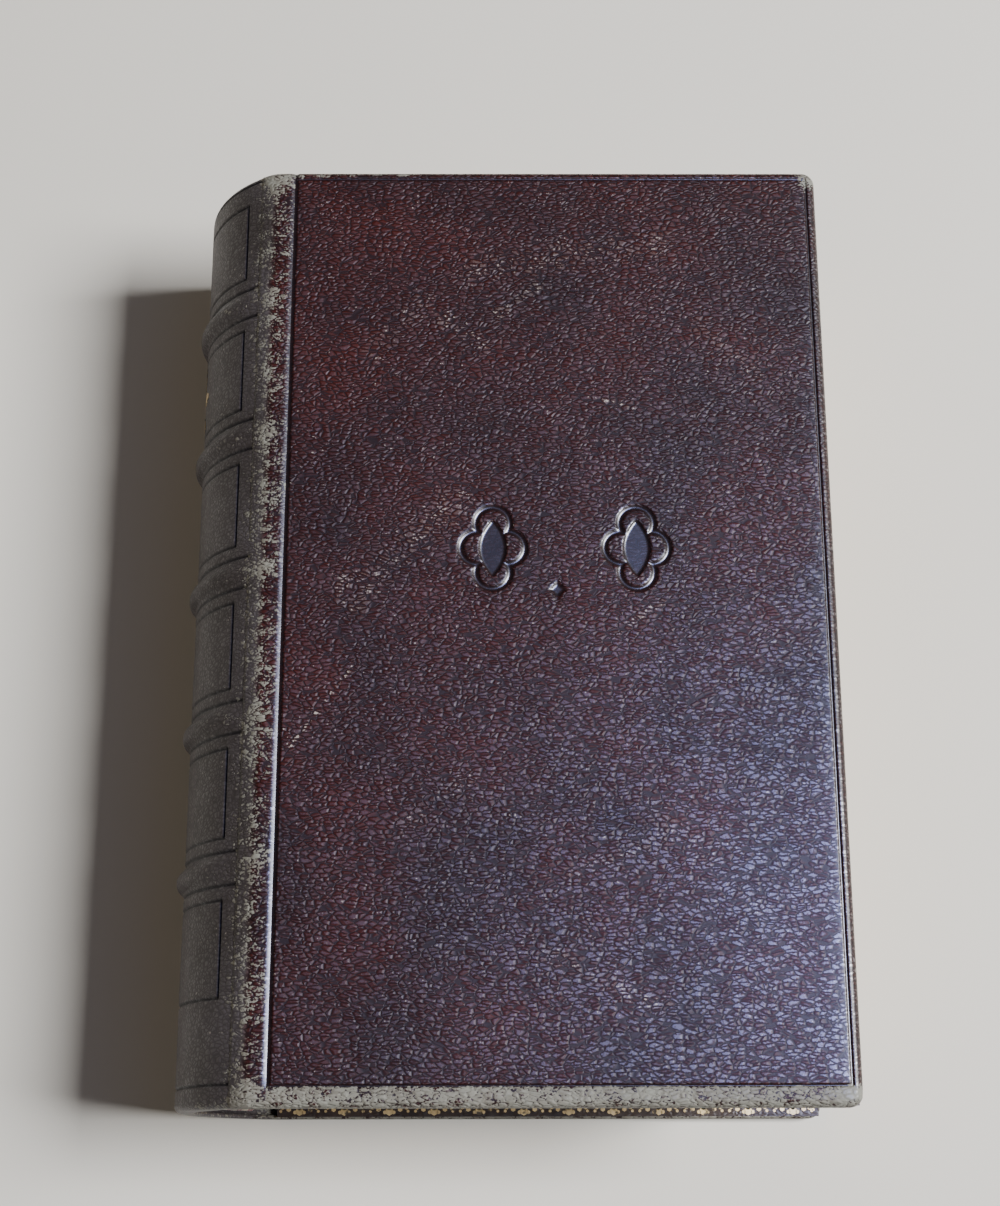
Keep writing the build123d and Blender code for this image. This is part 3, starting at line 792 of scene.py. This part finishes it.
def makeSpineSkin(finish):
    w = spine["lineWidth"]
    side = spine["sideLine"] * spineRadius
    edge = halfAngle * spineRadius
    busyA = [(-side - w * 1.3, -side + w * 1.3, 0.08 * mm), (side - w * 1.3, side + w * 1.3, 0.08 * mm),
             (-edge, -edge + 1.2 * mm, 0.3 * mm), (edge - 1.2 * mm, edge, 0.3 * mm)]
    busyY = [(m - 4.4 * mm, m + 4.4 * mm, 0.15 * mm) for m in bandPlaces]
    busyY += [(y - w * 1.3, y + w * 1.3, 0.1 * mm) for y in (*spine["headLines"], *spine["tailLines"])]
    r = spine["capRound"]
    turn = r * math.pi / 2
    reach = halfHeight - r + turn + spine["capReach"]
    xs = stops(-edge, edge, 1.0 * mm, busyA)
    busyY += [(-reach, r - halfHeight, 0.16 * mm), (halfHeight - r, reach, 0.16 * mm)]
    ys = stops(-reach, reach, 1.2 * mm, busyY)

    def placed(a, s):
        angle = a / spineRadius
        over = abs(s) - (halfHeight - r)
        drop, y = 0.0, s
        if over > 0:  # round the end, then in over the endband
            bend = min(over, turn) / r
            short = 1 - 0.6 * smooth(abs(angle), math.radians(42), math.radians(58))
            drop = r * (1 - math.cos(bend)) + max(0.0, over - turn) * short
            y = math.copysign(halfHeight - r + r * math.sin(bend), s)
        radius = spineRadius - drop
        if over <= 0:
            radius += bandHump(angle, y) - spineLines(angle, y) * spine["lineDepth"]
            radius += noise.noise(Vector((angle * 3, y * 60, 5.0))) * 0.05 * mm
        radius -= spine["tuck"] * smooth(abs(angle), halfAngle - 0.05, halfAngle - 0.01)
        return Vector((spineX - radius * math.cos(angle), y, midZ + radius * math.sin(angle)))

    bm = ruledGrid(xs, ys, placed)
    bmesh.ops.recalc_face_normals(bm, faces=bm.faces)
    middle = min(bm.faces, key=lambda f: f.calc_center_median().x)
    if middle.normal.x > 0:
        bmesh.ops.reverse_faces(bm, faces=bm.faces)
    thicken(bm, spine["leather"])

    def pressedMask(co):
        return min(1.0, 1.2 * spineLines(spineAngle(co), co.y))

    masks = {"pressed": pressedMask, "wear": ridgeWear, "faded": lambda co: 1.0}
    skin = finishPiece("spineLeather", bm, [finish], masks)
    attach(skin, "book_block")
    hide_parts("spine_leather")


strip = {"onSpine": 2.0 * mm, "thickness": 0.22 * mm, "lift": 0.03 * mm, "soften": 0.55 * mm,
         "hang": 2.4 * mm}


def jointHeight(x):
    arc = midZ + math.sqrt(max(0.0, spineRadius ** 2 - (x - spineX) ** 2))
    k = strip["soften"]
    h = max(0.0, k - abs(arc - bookTop)) / k
    return min(arc, bookTop) - h * h * k * 0.25


def makeJoint(side, finish):
    flip = side == "back"
    low, high = ridgeX - strip["onSpine"], jointLineX - 0.05 * mm
    xs = stops(low, high, 0.3 * mm, [(ridgeX - 0.5 * mm, coverLow.x + 0.3 * mm, 0.07 * mm)])
    r = cover["edgeRound"]
    turn = r * math.pi / 2
    reach = halfHeight - r + turn + strip["hang"]
    busyY = [(-reach, r - halfHeight, 0.2 * mm), (halfHeight - r, reach, 0.2 * mm)]
    ys = stops(-reach, reach, 1.0 * mm, busyY)

    def placed(x, s):
        over = abs(s) - (halfHeight - r)
        drop, y = 0.0, s
        if over > 0:
            bend = min(over, turn) / r
            drop = r * (1 - math.cos(bend)) + max(0.0, over - turn)
            y = math.copysign(halfHeight - r + r * math.sin(bend), s)
        else:
            drop = -bandHump(halfAngle, y) * (1 - smooth(x, ridgeX - 0.8 * mm, ridgeX + 0.6 * mm))
        near = groove(x - jointLineX, cover["jointLineWidth"]) * cover["jointLineDepth"]
        near *= smooth(y, tailLineY - 0.2 * mm, tailLineY)
        lump = noise.noise(Vector((x * 300, y * 220, 9.0))) * 0.05 * mm
        z = jointHeight(x) + strip["lift"] - drop - near + lump
        return Vector((x, y, z))

    bm = ruledGrid(xs, ys, placed)
    bmesh.ops.recalc_face_normals(bm, faces=bm.faces)
    top = max(bm.faces, key=lambda f: f.calc_center_median().z)
    if top.normal.z < 0:
        bmesh.ops.reverse_faces(bm, faces=bm.faces)
    thicken(bm, strip["thickness"])
    if flip:
        for v in bm.verts:
            v.co.z = bookTop - v.co.z

    def fadedMask(co):
        return 1 - smooth(co.x + noise.noise(Vector((co.x * 500, co.y * 500, 0))) * 0.5 * mm,
                          ridgeX - 0.7 * mm, ridgeX + 0.5 * mm)

    masks = {"pressed": lambda co: min(1.0, 1.4 * toolLines(co.x, co.y)) if co.x > ridgeX else 0.0,
             "wear": ridgeWear, "faded": fadedMask}
    piece = finishPiece(f"{side}JointLeather", bm, [finish], masks)
    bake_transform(piece)


def makeInnerHinge(side, finish):  # the endpaper's fold between pastedown and block
    flip = side == "back"
    busyX = [(ridgeX, coverLow.x + 0.4 * mm, 0.05 * mm)]
    xs = stops(ridgeX + 0.05 * mm, coverLow.x + 4 * mm, 0.5 * mm, busyX)
    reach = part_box("front_flyleaf")[1].y
    ys = stops(-reach, reach, 4 * mm, [])
    bm = ruledGrid(xs, ys, lambda x, y: Vector((x, y, innerZ - 0.03 * mm)))
    thicken(bm, 0.04 * mm)
    if flip:
        for v in bm.verts:
            v.co.z = bookTop - v.co.z
    piece = finishPiece(f"{side}InnerHinge", bm, [finish])
    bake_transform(piece)


leaves = {"front_flyleaf": "endpaper", "half_title_leaf": "page_paper", "title_leaf": "page_paper",
          "first_text_leaf": "page_paper", "back_flyleaf": "endpaper"}
bendReach = {"front_flyleaf": 9 * mm, "half_title_leaf": 9 * mm, "title_leaf": 8 * mm,
             "first_text_leaf": 7 * mm, "back_flyleaf": 3 * mm}


def onCutEdge(polygon):
    return 1 if abs(polygon.normal.z) < 0.97 else 0


def makeLeaf(name, finishes):
    low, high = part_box(name)
    xs = stops(low.x, high.x, 2.5 * mm, [(low.x, low.x + bendReach[name], 0.5 * mm)])
    ys = stops(low.y, high.y, 5 * mm, [])
    bm = ruledGrid(xs, ys, lambda x, y: Vector((x, y, low.z)))
    grown = bmesh.ops.extrude_face_region(bm, geom=bm.faces[:])["geom"]
    top = [g for g in grown if isinstance(g, bmesh.types.BMVert)]
    bmesh.ops.translate(bm, vec=(0, 0, high.z - low.z), verts=top)
    piece = finishPiece(name + "Sheet", bm, finishes, chooseFinish=onCutEdge)
    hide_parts(name)
    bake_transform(piece)


section = {"leaves": 8, "ragged": 0.05 * mm}


def makeSection(number, finishes):
    name = f"section_{number:02d}"
    low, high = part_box(name)
    outerLow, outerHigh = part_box("section_01")
    outerZ = abs((outerLow.z + outerHigh.z) / 2 - midZ)
    reach = (spineX - low.x) if number == 12 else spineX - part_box("section_12")[0].x
    bm = bmesh.new()
    bmesh.ops.create_cube(bm, size=1)
    bmesh.ops.scale(bm, vec=high - low, verts=bm.verts)
    bmesh.ops.translate(bm, vec=(high + low) / 2, verts=bm.verts)
    for k in range(1, section["leaves"]):
        cut = low.z + (high.z - low.z) * k / section["leaves"]
        bmesh.ops.bisect_plane(bm, geom=bm.verts[:] + bm.edges[:] + bm.faces[:], plane_co=(0, 0, cut),
                               plane_no=(0, 0, 1))
    for v in bm.verts:
        away = abs(v.co.z - midZ)
        ragged = noise.noise(Vector((v.co.z * 4000, number, 0.5))) * section["ragged"]
        if v.co.x > 0:
            arc = math.sqrt(reach ** 2 - away ** 2) - math.sqrt(reach ** 2 - outerZ ** 2)
            v.co.x = outerHigh.x - max(0.0, arc) + ragged
        v.co.y += math.copysign(ragged * 0.6, v.co.y)
    piece = finishPiece(f"section{number:02d}", bm, finishes, chooseFinish=onCutEdge)
    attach(piece, "book_block")
    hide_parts(name)


band = {"windings": 64, "ridge": 0.09 * mm}


def makeEndband(end, finish):
    low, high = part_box(f"{end}_endband")
    middleY = (low.y + high.y) / 2
    radius = (high.y - low.y) / 2
    ring = spineX - low.x - radius
    sweep = math.asin((high.z - low.z) / 2 / (ring + radius))
    turns = band["windings"]
    xs = [sweep * (2 * i / (turns * 4) - 1) for i in range(turns * 4 + 1)]
    ys = [2 * math.pi * j / 14 for j in range(15)]

    def placed(angle, around):
        turn = (angle / sweep + 1) / 2 * turns
        thick = radius - band["ridge"] * (0.5 + 0.5 * math.cos(2 * math.pi * turn))
        out = ring + thick * math.cos(around)
        return Vector((spineX - out * math.cos(angle), middleY + thick * math.sin(around),
                       midZ + out * math.sin(angle)))

    bm = ruledGrid(xs, ys, placed)
    bmesh.ops.remove_doubles(bm, verts=bm.verts, dist=1e-6)
    bmesh.ops.holes_fill(bm, edges=[e for e in bm.edges if e.is_boundary], sides=0)
    masks = {"windings": lambda co: (spineAngle(co) / sweep + 1) / 2 * turns}
    piece = finishPiece(f"{end}Endband", bm, [finish], masks)
    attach(piece, "book_block")
    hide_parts(f"{end}_endband")


def dressFrame(finishes):  # CAD pieces whose own shape is right
    for names, finish in finishes:
        for name in names:
            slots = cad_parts[name].data.materials
            slots.clear()
            slots.append(finish)


makeCamera()
makeStudio()
print("camera, lights and floor done")

grain, scuff, clouds = grainGroup(), scuffGroup(), cloudGroup()
leather = moroccoFinish(grain, scuff, clouds)
turnInLeather = turnInFinish(grain, clouds)
rollGold = goldFinish(clouds, "rollGold", 1.6 * mm, (0.06, 0.045, 0.03), 0.52, 0.60)
edgeGold = edgeGoldFinish(clouds)
endpaper = paperFinish(clouds, "endpaper", (0.66, 0.58, 0.43), (0.52, 0.43, 0.29))
pagePaper = paperFinish(clouds, "pagePaper", (0.74, 0.68, 0.54), (0.64, 0.56, 0.40))
endbandSilk = silkFinish()
print("finishes done")

for side in ("front", "back"):
    makeCoverSkin(side, leather)
    makeTurnIn(side, turnInLeather)
    makeGiltRoll(side, rollGold)
    makeJoint(side, leather)
    makeInnerHinge(side, endpaper)
print("covers and joints done")

makeSpineSkin(leather)
makeSpineGold(goldFinish(clouds, "spineGold", 1.1 * mm, (0.03, 0.025, 0.022), 0.44, 0.54))
for end in ("head", "tail"):
    makeEndband(end, endbandSilk)
print("spine done")

for number in range(1, 25):
    makeSection(number, [pagePaper, edgeGold])
for name, slotName in leaves.items():
    makeLeaf(name, [endpaper if slotName == "endpaper" else pagePaper, edgeGold])
print("book block done")

thread = clothFinish("sewingThread", (0.62, 0.56, 0.42), (0.40, 0.34, 0.24), 900.0)
mull = clothFinish("mull", (0.60, 0.55, 0.44), (0.36, 0.32, 0.24), 420.0)
cordFibre = clothFinish("cordFibre", (0.45, 0.36, 0.22), (0.25, 0.19, 0.11), 700.0)
liningPaper = paperFinish(clouds, "liningPaper", (0.36, 0.27, 0.17), (0.27, 0.19, 0.12), "object")
plainEndpaper = paperFinish(clouds, "plainEndpaper", (0.66, 0.58, 0.43), (0.52, 0.43, 0.29), "object")
endpaperNames = [f"{side}_{kind}" for kind in ("pastedown", "endpaper_guard") for side in ("front", "back")]
cordNames = [f"sewing_cord_{i}" for i in range(1, 6)] + ["head_endband_core", "tail_endband_core"]
dressFrame([(["front_board", "back_board"], boardFinish(clouds)), (endpaperNames, plainEndpaper),
            (cordNames, cordFibre),
            (["section_threads", "kettle_stitches"], thread), (["spine_mull"], mull),
            (["spine_lining"], liningPaper)])
print("inner pieces done")
